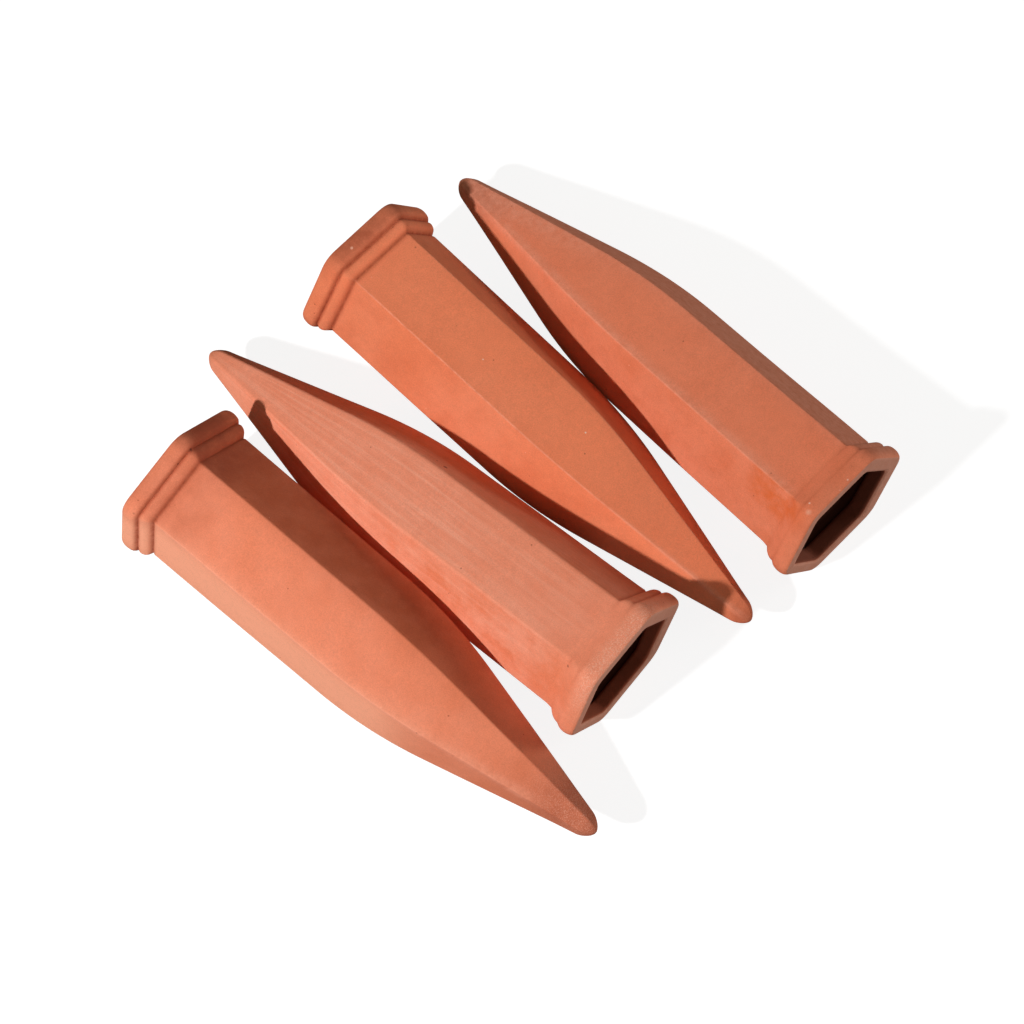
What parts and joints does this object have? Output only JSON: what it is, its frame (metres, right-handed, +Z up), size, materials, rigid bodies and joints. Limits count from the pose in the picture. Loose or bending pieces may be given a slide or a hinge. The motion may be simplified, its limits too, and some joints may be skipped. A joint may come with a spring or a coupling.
{
  "type": "self watering spike set",
  "caption": "Hollow six-sided terracotta watering spikes with a beaded collar round an open mouth for a bottle neck, lying head to tail in a row.",
  "frame": {"origin": "middle of the set's bounding box, on the surface that the spikes lie on", "axes": "+X along the spikes, the way that the tips of spike_1 and spike_3 point; +Y across the row, from spike_1 to spike_4; +Z up from the surface"},
  "size_m": [0.2064, 0.192, 0.0557],
  "materials": {
    "clay_1": "unglazed, matt, light orange terracotta",
    "clay_2": "unglazed, matt, pinkish terracotta",
    "clay_3": "unglazed, matt, orange terracotta with a redder collar and tip",
    "clay_4": "unglazed, matt, deeper orange terracotta"
  },
  "bodies": {
    "spike_1": {"spike_1": "clay_1"},
    "spike_2": {"spike_2": "clay_2"},
    "spike_3": {"spike_3": "clay_3"},
    "spike_4": {"spike_4": "clay_4"}
  },
  "joints": [
    {"name": "lift_1", "type": "slide", "parent": "spike_2", "child": "spike_1", "axis": [0, 0, 1], "range_m": [0, 0.08]},
    {"name": "lift_3", "type": "slide", "parent": "spike_2", "child": "spike_3", "axis": [0, 0, 1], "range_m": [0, 0.08]},
    {"name": "lift_4", "type": "slide", "parent": "spike_2", "child": "spike_4", "axis": [0, 0, 1], "range_m": [0, 0.08]}
  ]
}
